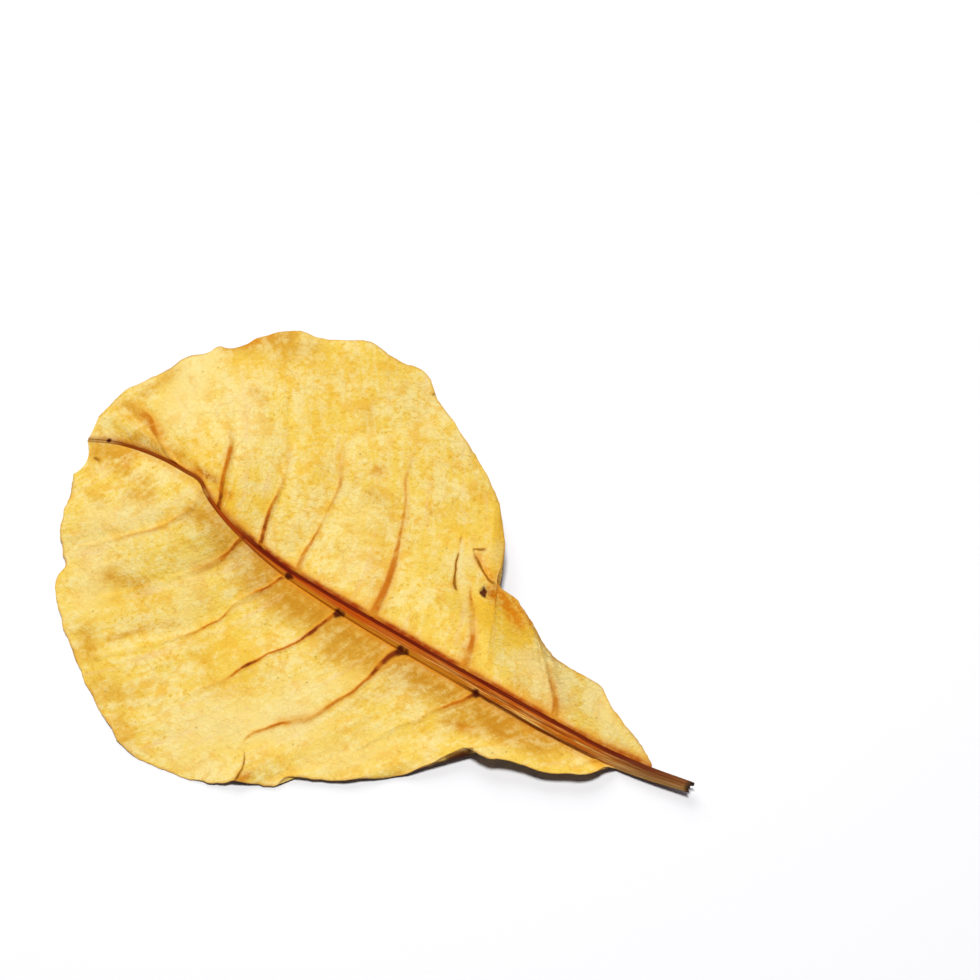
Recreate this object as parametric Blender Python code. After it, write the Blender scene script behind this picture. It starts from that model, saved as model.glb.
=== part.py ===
"""A dried Indian almond leaf, lying with its underside up.

One solid: the short stalk, the midrib that goes on from it as a raised rib,
the side veins as low ridges, and the thin waved blade.

+X runs from the cut stalk to the tip, +Y to the half with the pleat, +Z up.
The origin is on the surface that the leaf lies on, under the middle of its box.
"""
import bpy
import bmesh
import numpy as np

MM = 0.001

# Driving sizes in mm
BLADE = 0.8                # thickness of the blade, measured upright
VEIN_HALF_WIDTH = 0.9      # at the midrib
VEIN_END_HALF_WIDTH = 0.7  # at the margin
VEIN_HEIGHT = 0.6
VEIN_END_HEIGHT = 0.12
BULGE = 1.0                # rise of the blade between two veins
FULL_BULGE_ROOM = 20       # two veins this far apart have the full bulge between them
MARGIN_WAVE = 0.5
FLOOR_BLEND = 1.0          # height over which the low part of the blade curves up
CLEARANCE = 0.5            # of that low part above the surface, between the rests
FOLD_WIDTH = 0.8           # width of a fold's steep side
COLUMN_SPACING = 3.4       # steps along the midrib between the veins
BLADE_ROWS = 11            # steps from the midrib's foot to the margin
RIB_STEPS = [0, 0.4, 0.75, 1.0]
NEARLY = 1e-6

# Line of the midrib on the blade's lower face: x, y, height.
# Heights below zero are where the blade is low and flat.
MIDRIB = [
    (0, -4.4, 3.2), (13, -2.1, 2.2), (26, -0.7, 1.2), (40, -0.4, 0.6), (66, -0.4, -0.5),
    (92, -0.6, -1.1), (120, -1.3, -1.0), (134, -2.1, 0.5), (146.5, -3, 3.9),
    (158, -4.6, 8.6), (164.5, -6.9, 10.7), (168.5, -9.4, 11.2), (175, -10.4, 10.1),
    (192.5, -11.7, 5.3), (202, -10.6, 3), (210.2, -7.4, 2),
]

# Margins of the two halves from the stalk to the tip: x, y, height
FAR_MARGIN = [
    (11.5, -4.1, 2.4), (15.1, -6.6, 3), (20.4, -9.4, 3.6), (25.2, -11, 4.1), (30.7, -13.7, 4.4),
    (36.5, -17.4, 4.7), (43, -17, 5.3), (49.5, -17, 5.9), (56, -19, 6.4), (63, -23.3, 7),
    (70, -27, 7.5), (77.8, -28.4, 8.2), (79.2, -31.5, 8.5), (80.5, -36.5, 8.8),
    (84.5, -42.5, 9.2), (91.5, -51, 9.8), (98, -56, 10.1), (106, -60.7, 10.6),
    (117, -66.8, 11.1), (127, -72.2, 11.6), (131, -75.3, 11.7), (134.5, -76.8, 11.7),
    (141.5, -75.9, 11.7), (148, -76.8, 11.7), (156, -77.4, 11.5), (161.5, -75, 11.3),
    (168, -71.2, 11), (176, -69.7, 10.6), (182, -65, 10.3), (185, -61, 10.1),
    (188.5, -55.2, 9.8), (191, -53.6, 9.7), (193.3, -53, 9.6), (194.6, -48.6, 9.3),
    (199.1, -44.5, 8.9), (202.8, -37.9, 7.8), (206.5, -32.3, 6.6), (210.7, -25.9, 5.2),
    (211.8, -21.2, 4.3), (211.9, -15.5, 3.4),
]
NEAR_MARGIN = [
    (21, 1.3, 2), (22.6, 2.5, 3.4), (23.8, 4.6, 4), (25.4, 7.2, 4.3), (29.9, 10.1, 4.4),
    (34.6, 13, 4.4), (38, 14.2, 5), (43, 15.2, 5.4), (48.3, 17.2, 5.3), (50.8, 18.6, 5.1),
    (53.8, 19.1, 5.1), (56.1, 19.2, 5.2), (58.4, 19.4, 5.3), (60.8, 22.4, 4.6),
    (62.8, 25.4, 3.8), (64.5, 27.7, 3.2), (68.3, 32.4, 2.5), (73.3, 37.1, 2.1),
    (78.8, 41.4, 1.9), (83.1, 44.8, 1.7), (88.1, 47.3, 1.5), (93.1, 49.9, 1.4),
    (95.9, 51.3, 1.4), (96.9, 52.4, 1.3), (97.2, 55, 0.8), (98.8, 56.1, 0.6),
    (103.8, 58.6, 0.6), (107.6, 60.5, 0.7), (110.7, 62.9, 0.7), (115.7, 64.9, 0.5),
    (121.6, 66.7, 0.2), (128, 67.8, 0), (135, 68.5, 0), (141.5, 67.6, 0), (147.6, 64.9, 0),
    (154.2, 61.7, 0.1), (161.2, 57.9, 0.1), (167.3, 53.9, 0.2), (173.9, 49.6, 0.3),
    (180, 45, 0.4), (185, 40.6, 0.6), (188.1, 37.6, 0.7), (189.6, 34, 0.8), (189.8, 31, 1),
    (193.1, 27.2, 1.1), (197, 23.4, 1.2), (200.2, 17.8, 1.3), (202.8, 11.1, 1.4),
    (205.1, 7.2, 1.5), (206.7, 4, 1.7),
]

# Distance along the midrib at which the blade of each half begins
FAR_START = 12.2
NEAR_START = 21.2

# Side veins: distance along the midrib, distance along the margin, bow towards the stalk
FAR_VEINS = [
    (43.3, 54, 0.5), (73.3, 103, 1.5), (104.8, 159, 6.5), (132.5, 178, 6.5),
    (145, 198, 6), (160.5, 217, 5), (179.8, 254, 3),
]
NEAR_VEINS = [
    (30.5, 27, 0.5), (66.3, 100, 0.5), (90.9, 121, 0), (113.3, 156, 5.5),
    (132.5, 176, 4.5), (148.5, 197, 5), (167, 216, 4.5),
]
NOTCH = (66.3, 74.4, 0.5)  # a line of the far half that ends in the margin's notch
TIP_BOW = 2.4              # of the near half's last line, which cuts the nick at the tip

# Waves of the margin: length along it, share of the full height, phase
WAVES = [(37, 0.8, 0.4), (19, 0.6, 2.1), (61, 0.6, 4.0)]

# Folded lines: path, rise beside it, distance over which that fades
FOLDS = [
    ([(111.7, 48.6), (109, 53.3), (107.4, 62)], 1.3, 7),
    ([(77, -29), (81.5, -28.7), (86.5, -32.2), (89.7, -34.1)], 0.9, 5),
    ([(95.5, -36.8), (93.5, -32), (90.5, -25), (86.7, -21.2)], 0.7, 5),
]

# Where the leaf touches the surface: x, y, radius of the flat spot, radius of the dimple
RESTS = [(131.5, -9.1, 7.5, 11), (54.6, -0.4, 2.6, 6), (137.4, 68.3, 1.5, 6)]

# The midrib's raised rib and the stalk's underside, by distance along them
RIB_AT = [0, 8, 30, 40, 92, 128, 146, 166, 190, 215]
RIB_HALF_WIDTH = [1.5, 1.75, 2.2, 2.5, 2.35, 1.7, 1.2, 0.8, 0.6, 0.5]
RIB_HEIGHT = [1.5, 1.6, 1.9, 1.9, 1.8, 1.4, 1.0, 0.8, 0.5, 0.25]
KEEL_DEPTH = [1.0, 0.9, 0.4, 0, 0, 0, 0, 0, 0, 0]


def along(points, distances):
    """Points on the smooth curve through the given points, at distances along it."""
    points = np.array(points, float)
    steps = np.linalg.norm(np.diff(points, axis=0), axis=1)
    knots = np.concatenate([[0.0], np.cumsum(steps)])
    slopes = np.gradient(points, knots, axis=0)
    before = np.clip(np.searchsorted(knots, distances, side="right") - 1, 0, len(steps) - 1)
    span = steps[before][:, None]
    t = (distances - knots[before])[:, None] / span
    rise = t * t * (3 - 2 * t)
    bend_in = span * t * (1 - t) ** 2
    bend_out = span * t * t * (t - 1)
    return (points[before] * (1 - rise) + points[before + 1] * rise
            + slopes[before] * bend_in + slopes[before + 1] * bend_out)


def length_of(points):
    """Length of the straight pieces between the points."""
    return float(np.linalg.norm(np.diff(np.array(points, float), axis=0), axis=1).sum())


def margin_map(lines, start, margin, tip_bow):
    """Knots that lead from the midrib to the margin and keep each vein's width."""
    rows = [(start, 0.0, 0.0)]
    for at, reach, bow in sorted(lines):
        rows.append((at - VEIN_HALF_WIDTH, reach - VEIN_END_HALF_WIDTH, bow))
        rows.append((at, reach, bow))
        rows.append((at + VEIN_HALF_WIDTH, reach + VEIN_END_HALF_WIDTH, bow))
    rows.append((length_of(MIDRIB), length_of(margin), tip_bow))
    return np.array(rows)


def stations(marks):
    """The marked distances in order, with even steps between them."""
    marks = sorted(set(marks))
    found = [marks[0]]
    for start, end in zip(marks, marks[1:]):
        steps = max(1, round((end - start) / COLUMN_SPACING))
        found += [start + (end - start) * k / steps for k in range(1, steps + 1)]
    return np.array(found)


def half_blade(at, margin, knots, veins, foot):
    """Lower face of one half: a line of points to the margin for each station."""
    out = np.linspace(0, 1, BLADE_ROWS + 1)[1:]
    hump = 4 * out * (1 - out)
    on_stalk = at <= knots[0, 0] + NEARLY
    reach = np.interp(at, knots[:, 0], knots[:, 1])
    bow = np.where(on_stalk, 0, np.interp(at, knots[:, 0], knots[:, 2]))
    edge = np.where(on_stalk[:, None], foot, along(margin, reach))
    points = foot[:, None] + (edge - foot)[:, None] * out[:, None]
    points[:, :, 0] -= bow[:, None] * hump

    # The blade curves up towards its margin, and falls more evenly from the high midrib
    fall = np.clip((foot[:, 2] - edge[:, 2]) / 6, 0, 1)
    lift = out ** (1.8 - 0.7 * fall)[:, None]
    points[:, :, 2] = foot[:, 2:3] + (edge[:, 2:3] - foot[:, 2:3]) * lift

    # It bulges between each two veins, and more where they stand further apart
    starts = [knots[0, 0]] + [vein[0] for vein in veins] + [at[-1]]
    panel = np.interp(at, starts, range(len(starts)))
    room = np.diff(starts)[np.clip(panel.astype(int), 0, len(veins))]
    bulge = BULGE * np.clip(room / FULL_BULGE_ROOM, 0, 1) * np.abs(np.sin(np.pi * panel))
    points[:, :, 2] += np.where(on_stalk, 0, bulge)[:, None] * hump

    wave = sum(share * np.sin(2 * np.pi * reach / size + phase) for size, share, phase in WAVES)
    points[:, :, 2] += np.where(on_stalk, 0, MARGIN_WAVE * wave)[:, None] * out ** 4
    return points


def vein_ridges(at, veins):
    """Height of the side veins over one half, on the stations that follow their crests."""
    out = np.linspace(0, 1, BLADE_ROWS + 1)[1:]
    ridges = np.zeros((len(at), BLADE_ROWS))
    for start, _, _ in veins:
        crest = np.abs(at - start) < NEARLY
        ridges[crest] = VEIN_HEIGHT + (VEIN_END_HEIGHT - VEIN_HEIGHT) * out
    return ridges


def fold_height(points, path, rise, reach):
    """Rise beside a folded line: steep on its right-hand side, fading away on its left."""
    height = np.zeros(points.shape[:2])
    nearest = np.full(height.shape, np.inf)
    for start, end in zip(np.array(path), np.array(path[1:])):
        run = end - start
        offset = points[:, :, :2] - start
        t = np.clip(offset @ run / (run @ run), 0, 1)
        distance = np.linalg.norm(offset - t[:, :, None] * run, axis=2)
        on_left = run[0] * offset[:, :, 1] > run[1] * offset[:, :, 0]
        here = rise * np.exp(-distance / np.where(on_left, reach, FOLD_WIDTH))
        height = np.where(distance < nearest, here, height)
        nearest = np.minimum(nearest, distance)
    return height


def settle(height):
    """Heights below zero are flattened to zero, and the rest curves up from there."""
    blend = height * height / (2 * FLOOR_BLEND)
    raised = np.where(height < FLOOR_BLEND, blend, height - FLOOR_BLEND / 2)
    return np.where(height <= 0, 0.0, raised)


def set_down(points):
    """Heights of a blade that stands clear of the surface but for its rests."""
    near = np.zeros(points.shape[:2])
    for x, y, flat, dimple in RESTS:
        distance = np.hypot(points[:, :, 0] - x, points[:, :, 1] - y)
        t = np.clip((dimple - distance) / (dimple - flat), 0, 1)
        near = np.maximum(near, t * t * (3 - 2 * t))
    return (points[:, :, 2] + CLEARANCE) * (1 - near)


def leaf_faces():
    """Lower and upper points of the leaf in mm, by station and row, and the stations."""
    far_knots = margin_map(FAR_VEINS + [NOTCH], FAR_START, FAR_MARGIN, 0)
    near_knots = margin_map(NEAR_VEINS, NEAR_START, NEAR_MARGIN, TIP_BOW)
    at = stations([0.0, 1.0, 6.0] + list(far_knots[:, 0]) + list(near_knots[:, 0]))

    centre = along(MIDRIB, at)
    forward = np.gradient(centre[:, :2], at, axis=0)
    forward /= np.linalg.norm(forward, axis=1)[:, None]
    sideways = np.stack([-forward[:, 1], forward[:, 0], np.zeros(len(at))], axis=1)
    sideways *= np.interp(at, RIB_AT, RIB_HALF_WIDTH)[:, None]

    # Rows from the far margin over the rib to the near margin
    steps = np.array([-step for step in RIB_STEPS[:0:-1]] + RIB_STEPS)
    rib_rows = centre[:, None] + sideways[:, None] * steps[:, None]
    far = half_blade(at, FAR_MARGIN, far_knots, FAR_VEINS, rib_rows[:, 0])
    near = half_blade(at, NEAR_MARGIN, near_knots, NEAR_VEINS, rib_rows[:, -1])
    lower = np.concatenate([far[:, ::-1], rib_rows, near], axis=1)
    for path, rise, reach in FOLDS:
        lower[:, :, 2] += fold_height(lower, path, rise, reach)
    lower[:, :, 2] = settle(lower[:, :, 2])
    lower[:, :, 2] = set_down(lower)

    round_off = np.sqrt(1 - steps ** 2)
    rib = np.interp(at, RIB_AT, RIB_HEIGHT)[:, None] * round_off
    upper = lower.copy()
    upper[:, :, 2] += BLADE
    far_ridges = vein_ridges(at, FAR_VEINS)[:, ::-1]
    upper[:, :, 2] += np.concatenate([far_ridges, rib, vein_ridges(at, NEAR_VEINS)], axis=1)
    under_rib = slice(BLADE_ROWS, BLADE_ROWS + len(steps))
    lower[:, under_rib, 2] -= np.interp(at, RIB_AT, KEEL_DEPTH)[:, None] * round_off
    return lower, upper, at


def build_leaf():
    """A grid laid along the midrib and the veins, thickened by extruding it upwards."""
    lower, upper, at = leaf_faces()
    columns, rows = lower.shape[:2]
    middle = (lower.min(axis=(0, 1)) + lower.max(axis=(0, 1))) / 2
    middle[2] = 0

    bm = bmesh.new()
    bmesh.ops.create_grid(bm, x_segments=columns - 1, y_segments=rows - 1, size=1)
    column_of = bm.verts.layers.int.new("column")
    row_of = bm.verts.layers.int.new("row")
    for vert in bm.verts:
        vert[column_of] = round((vert.co.x + 1) / 2 * (columns - 1))
        vert[row_of] = round((vert.co.y + 1) / 2 * (rows - 1))

    # The stalk has no blade beside it
    bare = []
    for face in bm.faces:
        begins = at[min(vert[column_of] for vert in face.verts)] + NEARLY
        row = min(vert[row_of] for vert in face.verts)
        past_far = row < BLADE_ROWS and begins < FAR_START
        past_near = row >= rows - 1 - BLADE_ROWS and begins < NEAR_START
        if past_far or past_near:
            bare.append(face)
    bmesh.ops.delete(bm, geom=bare, context="FACES")

    for vert in bm.verts:
        vert.co = (lower[vert[column_of], vert[row_of]] - middle) * MM
    bmesh.ops.remove_doubles(bm, verts=bm.verts, dist=0.00001)
    bmesh.ops.triangulate(bm, faces=bm.faces, quad_method="SHORT_EDGE")

    # The upper face repeats the lower one's triangles, so the two never cross
    raised = bmesh.ops.extrude_face_region(bm, geom=bm.faces[:], use_keep_orig=True)
    for item in raised["geom"]:
        if isinstance(item, bmesh.types.BMVert):
            item.co = (upper[item[column_of], item[row_of]] - middle) * MM
    bmesh.ops.triangulate(bm, faces=bm.faces, quad_method="SHORT_EDGE")
    bmesh.ops.recalc_face_normals(bm, faces=bm.faces)
    mesh = bpy.data.meshes.new("leaf")
    bm.to_mesh(mesh)
    bm.free()
    return mesh


def leaf_material():
    """Dry yellow leaf, dull and paper-like."""
    material = bpy.data.materials.new("Dry yellow leaf")
    material.use_nodes = True
    shader = material.node_tree.nodes["Principled BSDF"]
    shader.inputs["Base Color"].default_value = (0.80, 0.56, 0.16, 1)
    shader.inputs["Roughness"].default_value = 0.6
    shader.inputs["Metallic"].default_value = 0.0
    return material


def main():
    for item in list(bpy.data.objects):
        bpy.data.objects.remove(item, do_unlink=True)
    collection = bpy.data.collections.new("Indian almond leaf")
    bpy.context.scene.collection.children.link(collection)
    mesh = build_leaf()
    mesh.materials.append(leaf_material())
    mesh.shade_smooth()
    mesh.set_sharp_from_angle(angle=np.radians(50))
    leaf = bpy.data.objects.new("leaf", mesh)
    collection.objects.link(leaf)


main()
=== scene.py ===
# %% [markdown]
# # A dried Indian almond leaf
#
# An Indian almond tree drops its leaves in full colour. This one dried with its underside up.
# What makes it look real, from a step away, is the raised midrib with a dark line along it,
# the side veins that fade towards the margin, the blade that bulges between them, and a skin
# that is never one yellow but mottled cream, ochre and orange.
#
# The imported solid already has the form. This lesson lays a much finer skin over the same
# lines, and then paints it in layers, each of which follows something that was measured on
# the leaf: how far a point is from a vein, from the midrib, or from the margin.

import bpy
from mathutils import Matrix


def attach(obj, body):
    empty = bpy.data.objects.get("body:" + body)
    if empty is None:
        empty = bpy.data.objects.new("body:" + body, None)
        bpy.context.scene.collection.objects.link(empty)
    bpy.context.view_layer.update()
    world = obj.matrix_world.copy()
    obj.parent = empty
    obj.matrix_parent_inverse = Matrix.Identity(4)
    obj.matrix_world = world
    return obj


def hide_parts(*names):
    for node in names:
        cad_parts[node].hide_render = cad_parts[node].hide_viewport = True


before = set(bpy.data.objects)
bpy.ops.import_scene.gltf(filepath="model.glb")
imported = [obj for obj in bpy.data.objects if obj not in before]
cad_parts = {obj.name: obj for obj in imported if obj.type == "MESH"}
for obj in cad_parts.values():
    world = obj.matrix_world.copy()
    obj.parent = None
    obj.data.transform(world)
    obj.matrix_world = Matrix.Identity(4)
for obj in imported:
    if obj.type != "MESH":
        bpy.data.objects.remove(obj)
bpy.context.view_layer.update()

# %% The other tools, and the unit
import math

import bpy
import numpy as np
from mathutils import Vector, noise

MM = 0.001  # Blender works in metres, and every size below is in mm

# %% [markdown]
# ## The camera
#
# The photograph looks down on the leaf at about 58 degrees, from the side of the leaf's near
# half, with the stalk at the lower right. A long lens from 69 cm keeps the shape nearly free
# of perspective. The camera comes first because everything later is judged through it.

# %% Camera
VIEW_AZIMUTH = math.radians(212.2)
VIEW_ELEVATION = math.radians(58)
VIEW_DISTANCE = 690
VIEW_AIM = (-6.83, -53.52, 0)  # the point of the floor in the middle of the picture
LENS = 85
SENSOR_WIDTH = 36


def toward(azimuth, elevation):
    """Unit vector from the leaf to something seen in that direction."""
    flat = math.cos(elevation)
    return Vector((math.sin(azimuth) * flat, -math.cos(azimuth) * flat, math.sin(elevation)))


camera = bpy.data.objects.new("Camera", bpy.data.cameras.new("Camera"))
bpy.context.scene.collection.objects.link(camera)
bpy.context.scene.camera = camera
camera.data.lens = LENS
camera.data.sensor_width = SENSOR_WIDTH
backwards = toward(VIEW_AZIMUTH, VIEW_ELEVATION)
camera.location = (Vector(VIEW_AIM) + backwards * VIEW_DISTANCE) * MM
camera.rotation_euler = (-backwards).to_track_quat("-Z", "Y").to_euler()
print("The camera is at", [round(v, 3) for v in camera.location])

# %% [markdown]
# ## The floor and the light
#
# The leaf lies on white paper. Almost straight above it hangs a lamp that is small enough to
# leave a dark, crisp shadow in the gap under the lifted margin, and large enough to flatter
# the skin. A weaker, much larger light behind the leaf gives the veins and bulges their
# modelling and lays a soft grey on the paper in front. The world gives little light of its
# own, or it would fill that gap, but the camera sees it nearly as white as the paper.

# %% Floor
FLOOR_SIZE = 3000
FLOOR_DROP = 0.05  # the paper lies this far below the leaf, so the two never share a plane
FLOOR_COLOUR = (0.94, 0.94, 0.95, 1)
FLOOR_ROUGHNESS = 0.9

bpy.ops.mesh.primitive_plane_add(size=FLOOR_SIZE * MM, location=(0, 0, -FLOOR_DROP * MM))
floor = bpy.context.object
floor.name = "paper_floor"
paper = bpy.data.materials.new("White paper")
paper.use_nodes = True
paper_shader = paper.node_tree.nodes["Principled BSDF"]
paper_shader.inputs["Base Color"].default_value = FLOOR_COLOUR
paper_shader.inputs["Roughness"].default_value = FLOOR_ROUGHNESS
floor.data.materials.append(paper)
print("The paper lies", FLOOR_DROP, "mm below the leaf")

# %% Light
LIGHTS = [  # name, azimuth, elevation, distance, width, watts
    ("Lamp overhead", 32, 86, 1500, 300, 19.0),
    ("Light behind", 50, 40, 1500, 900, 8.2),
]
for name, azimuth, elevation, distance, width, watts in LIGHTS:
    lamp = bpy.data.lights.new(name, "AREA")
    lamp.size = width * MM
    lamp.energy = watts
    holder = bpy.data.objects.new(name, lamp)
    out_to_lamp = toward(math.radians(azimuth), math.radians(elevation))
    holder.location = out_to_lamp * distance * MM
    holder.rotation_euler = (-out_to_lamp).to_track_quat("-Z", "Y").to_euler()
    bpy.context.scene.collection.objects.link(holder)
print("Lamps:", [name for name, *_ in LIGHTS])

# %% World
WORLD_LIGHT = (0.05, 0.05, 0.06, 1)
WORLD_LOOK = (0.97, 0.97, 0.98, 1)

world = bpy.data.worlds.new("White studio")
bpy.context.scene.world = world
world.use_nodes = True
surroundings = world.node_tree
backdrop = surroundings.nodes["Background"]
seen_directly = surroundings.nodes.new("ShaderNodeLightPath")
choose = surroundings.nodes.new("ShaderNodeMix")
choose.data_type = "RGBA"
choose.inputs[6].default_value = WORLD_LIGHT
choose.inputs[7].default_value = WORLD_LOOK
surroundings.links.new(seen_directly.outputs["Is Camera Ray"], choose.inputs[0])
surroundings.links.new(choose.outputs[2], backdrop.inputs["Color"])
bpy.context.scene.view_settings.view_transform = "Standard"
print("The world lights with", WORLD_LIGHT[:3], "and looks", WORLD_LOOK[:3])

# %% [markdown]
# ## The lines of the leaf
#
# A leaf is laid out like a drawing: one line for the midrib, one for each margin, and then
# where each side vein leaves the midrib and where it meets the margin. These are the same
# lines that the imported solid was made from, so the fine skin keeps its form. Each point says
# how far it is from the stalk's end, how far to the near side, and how high, in mm.

# %% Midrib and margins
PLAN_ORIGIN = (105.83, -4.58)  # where the frame's origin lies in the plan of the leaf

MIDRIB = [
    (0, -4.4, 3.2), (13, -2.1, 2.2), (26, -0.7, 1.2), (40, -0.4, 0.6), (66, -0.4, -0.5),
    (92, -0.6, -1.1), (120, -1.3, -1.0), (134, -2.1, 0.5), (146.5, -3, 3.9),
    (158, -4.6, 8.6), (164.5, -6.9, 10.7), (168.5, -9.4, 11.2), (175, -10.4, 10.1),
    (192.5, -11.7, 5.3), (202, -10.6, 3), (210.2, -7.4, 2),
]
FAR_MARGIN = [
    (11.5, -4.1, 2.4), (15.1, -6.6, 3), (20.4, -9.4, 3.6), (25.2, -11, 4.1), (30.7, -13.7, 4.4),
    (36.5, -17.4, 4.7), (43, -17, 5.3), (49.5, -17, 5.9), (56, -19, 6.4), (63, -23.3, 7),
    (70, -27, 7.5), (77.8, -28.4, 8.2), (79.2, -31.5, 8.5), (80.5, -36.5, 8.8),
    (84.5, -42.5, 9.2), (91.5, -51, 9.8), (98, -56, 10.1), (106, -60.7, 10.6),
    (117, -66.8, 11.1), (127, -72.2, 11.6), (131, -75.3, 11.7), (134.5, -76.8, 11.7),
    (141.5, -75.9, 11.7), (148, -76.8, 11.7), (156, -77.4, 11.5), (161.5, -75, 11.3),
    (168, -71.2, 11), (176, -69.7, 10.6), (182, -65, 10.3), (185, -61, 10.1),
    (188.5, -55.2, 9.8), (191, -53.6, 9.7), (193.3, -53, 9.6), (194.6, -48.6, 9.3),
    (199.1, -44.5, 8.9), (202.8, -37.9, 7.8), (206.5, -32.3, 6.6), (210.7, -25.9, 5.2),
    (211.8, -21.2, 4.3), (211.9, -15.5, 3.4),
]
NEAR_MARGIN = [
    (21, 1.3, 2), (22.6, 2.5, 3.4), (23.8, 4.6, 4), (25.4, 7.2, 4.3), (29.9, 10.1, 4.4),
    (34.6, 13, 4.4), (38, 14.2, 5), (43, 15.2, 5.4), (48.3, 17.2, 5.3), (50.8, 18.6, 5.1),
    (53.8, 19.1, 5.1), (56.1, 19.2, 5.2), (58.4, 19.4, 5.3), (60.8, 22.4, 4.6),
    (62.8, 25.4, 3.8), (64.5, 27.7, 3.2), (68.3, 32.4, 2.5), (73.3, 37.1, 2.1),
    (78.8, 41.4, 1.9), (83.1, 44.8, 1.7), (88.1, 47.3, 1.5), (93.1, 49.9, 1.4),
    (95.9, 51.3, 1.4), (96.9, 52.4, 1.3), (97.2, 55, 0.8), (98.8, 56.1, 0.6),
    (103.8, 58.6, 0.6), (107.6, 60.5, 0.7), (110.7, 62.9, 0.7), (115.7, 64.9, 0.5),
    (121.6, 66.7, 0.2), (128, 67.8, 0), (135, 68.5, 0), (141.5, 67.6, 0), (147.6, 64.9, 0),
    (154.2, 61.7, 0.1), (161.2, 57.9, 0.1), (167.3, 53.9, 0.2), (173.9, 49.6, 0.3),
    (180, 45, 0.4), (185, 40.6, 0.6), (188.1, 37.6, 0.7), (189.6, 34, 0.8), (189.8, 31, 1),
    (193.1, 27.2, 1.1), (197, 23.4, 1.2), (200.2, 17.8, 1.3), (202.8, 11.1, 1.4),
    (205.1, 7.2, 1.5), (206.7, 4, 1.7),
]


def along(points, distances):
    """Points on the smooth curve through the given points, at distances along it."""
    points = np.array(points, float)
    steps = np.linalg.norm(np.diff(points, axis=0), axis=1)
    knots = np.concatenate([[0.0], np.cumsum(steps)])
    slopes = np.gradient(points, knots, axis=0)
    before = np.clip(np.searchsorted(knots, distances, side="right") - 1, 0, len(steps) - 1)
    span = steps[before][:, None]
    t = (distances - knots[before])[:, None] / span
    rise = t * t * (3 - 2 * t)
    bend_in = span * t * (1 - t) ** 2
    bend_out = span * t * t * (t - 1)
    return (points[before] * (1 - rise) + points[before + 1] * rise
            + slopes[before] * bend_in + slopes[before + 1] * bend_out)


def length_of(points):
    """Length of the straight pieces between the points."""
    return float(np.linalg.norm(np.diff(np.array(points, float), axis=0), axis=1).sum())


print("Midrib", round(length_of(MIDRIB)), "mm, margins",
      round(length_of(FAR_MARGIN)), "and", round(length_of(NEAR_MARGIN)), "mm")

# %% [markdown]
# ## The side veins
#
# Seven side veins leave the midrib on each side. Each row gives the distance along the
# midrib where it starts, the distance along the margin where it ends, and how far it bows
# towards the stalk.

# %% Side veins
FAR_START = 12.2   # where the blade of each half begins on the midrib
NEAR_START = 21.2
FAR_VEINS = [
    (43.3, 54, 0.5), (73.3, 103, 1.5), (104.8, 159, 6.5), (132.5, 178, 6.5), (145, 198, 6),
    (160.5, 217, 5), (179.8, 254, 3),
]
NEAR_VEINS = [
    (30.5, 27, 0.5), (66.3, 100, 0.5), (90.9, 121, 0), (113.3, 156, 5.5), (132.5, 176, 4.5),
    (148.5, 197, 5), (167, 216, 4.5),
]
NOTCH = (66.3, 74.4, 0.5)  # a line of the far half that ends in the margin's notch
TIP_BOW = 2.4              # of the near half's last line, at the leaf's tip
VEIN_HALF_WIDTH = 0.9
VEIN_END_HALF_WIDTH = 0.7


def margin_map(lines, start, margin, tip_bow):
    """Knots that lead from the midrib to the margin and keep each vein's width."""
    rows = [(start, 0.0, 0.0)]
    for at, reach, bow in sorted(lines):
        rows.append((at - VEIN_HALF_WIDTH, reach - VEIN_END_HALF_WIDTH, bow))
        rows.append((at, reach, bow))
        rows.append((at + VEIN_HALF_WIDTH, reach + VEIN_END_HALF_WIDTH, bow))
    rows.append((length_of(MIDRIB), length_of(margin), tip_bow))
    return np.array(rows)


far_knots = margin_map(FAR_VEINS + [NOTCH], FAR_START, FAR_MARGIN, 0)
near_knots = margin_map(NEAR_VEINS, NEAR_START, NEAR_MARGIN, TIP_BOW)
print("Knots:", len(far_knots), "on the far half and", len(near_knots), "on the near one")

# %% [markdown]
# ## A grid that follows the veins
#
# A square grid would cut across the veins and make them ragged. Here each column of points
# starts on the midrib and runs out as a side vein does, so the columns lie along the veins.
# The rows stand closer beside the midrib and the margin, because that is where the surface
# turns quickly.

# %% Stations along the midrib, and rows across a half
COLUMN_SPACING = 0.62
BLADE_ROWS = 54
RIB_ROWS = 8
CROWDING = 0.05  # how much closer the outer and inner rows stand
END_MARKS = [0.0, 1.0, 6.0]  # columns at the stalk's end


def stations(marks):
    """The marked distances in order, with even steps between them."""
    marks = sorted(set(marks))
    found = [marks[0]]
    for start, end in zip(marks, marks[1:]):
        steps = max(1, round((end - start) / COLUMN_SPACING))
        found += [start + (end - start) * k / steps for k in range(1, steps + 1)]
    return np.array(found)


marks = END_MARKS + list(far_knots[:, 0]) + list(near_knots[:, 0])
at = stations([round(mark, 3) for mark in marks])
even = np.linspace(0, 1, BLADE_ROWS + 1)[1:]
out = even - CROWDING * np.sin(2 * np.pi * even)
print("Grid of", len(at), "columns and", 2 * (BLADE_ROWS + RIB_ROWS) + 1, "rows")

# %% [markdown]
# ## The blade
#
# Each half is a fan of lines from the foot of the midrib to the margin. Three things shape
# it: the blade curves up to its margin or falls from the high midrib, it bulges between
# each two veins, and its margin waves. Noise pushes the margin in and out a little, so that
# it looks nicked.

# %% Nicks along the margin
NICKS = [(3.1, 0.35, 5.0), (1.3, 0.21, 9.0)]  # size, depth, seed
NICK_STEP = 0.4  # the margin's direction is measured over this much to each side
NEARLY = 1e-6


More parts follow.
